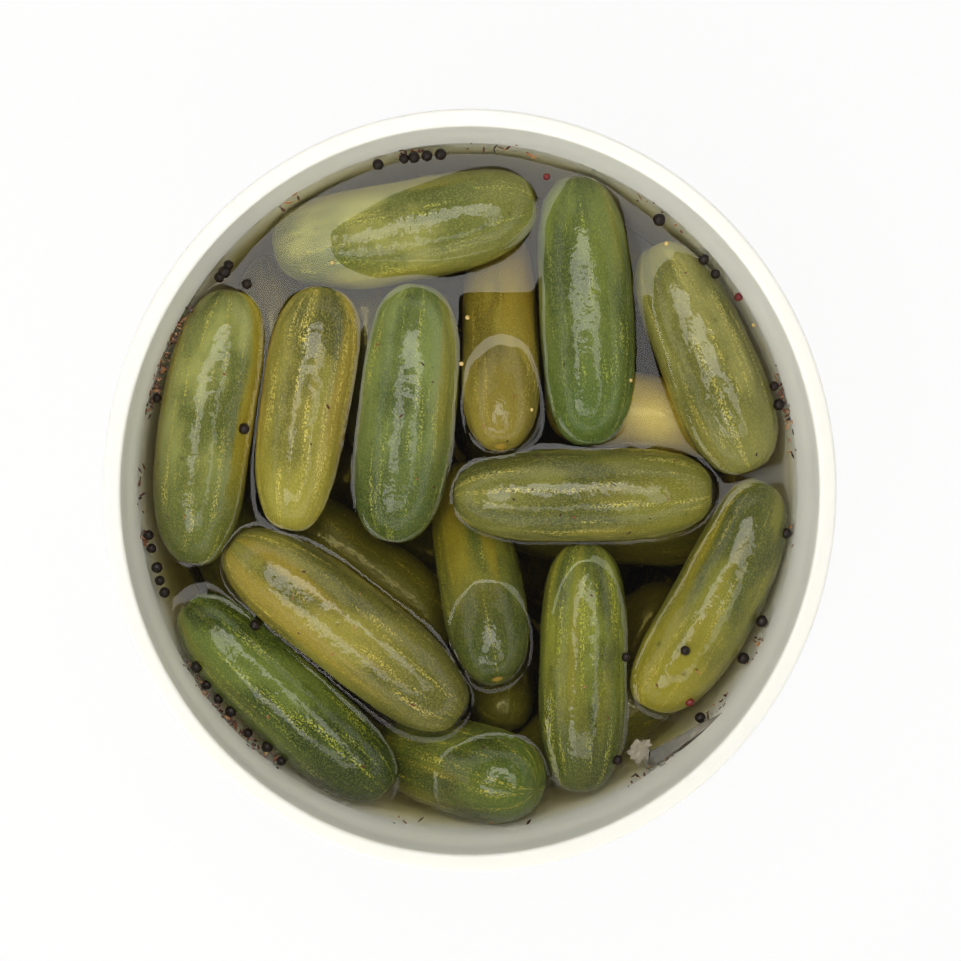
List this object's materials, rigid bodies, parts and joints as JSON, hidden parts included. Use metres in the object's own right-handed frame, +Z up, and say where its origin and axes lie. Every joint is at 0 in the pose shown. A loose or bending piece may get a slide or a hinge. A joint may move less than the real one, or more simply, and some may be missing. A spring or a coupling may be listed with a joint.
{
  "type": "tub of pickles",
  "caption": "Open oval-mouthed white plastic tub of whole pickled cucumbers in spiced brine, the upper ones standing out of the liquid.",
  "frame": {"origin": "middle of the tub's foot, on the surface it stands on", "axes": "+Z up out of the mouth, +X across the narrower way of the mouth, +Y along its wider way"},
  "size_m": [0.296, 0.308, 0.2],
  "materials": {
    "tub_plastic": "satin white polyethylene",
    "brine": "clear yellow-brown liquid",
    "pickle_skin": "wet olive-green skin with yellow-green streaks"
  },
  "bodies": {
    "root": {"tub": "tub_plastic", "brine": "brine", "pickle_01": "pickle_skin", "pickle_02": "pickle_skin", "pickle_03": "pickle_skin", "pickle_04": "pickle_skin", "pickle_05": "pickle_skin", "pickle_06": "pickle_skin", "pickle_07": "pickle_skin", "pickle_08": "pickle_skin", "pickle_09": "pickle_skin", "pickle_10": "pickle_skin", "pickle_11": "pickle_skin", "pickle_12": "pickle_skin", "pickle_13": "pickle_skin", "pickle_14": "pickle_skin"}
  },
  "joints": []
}
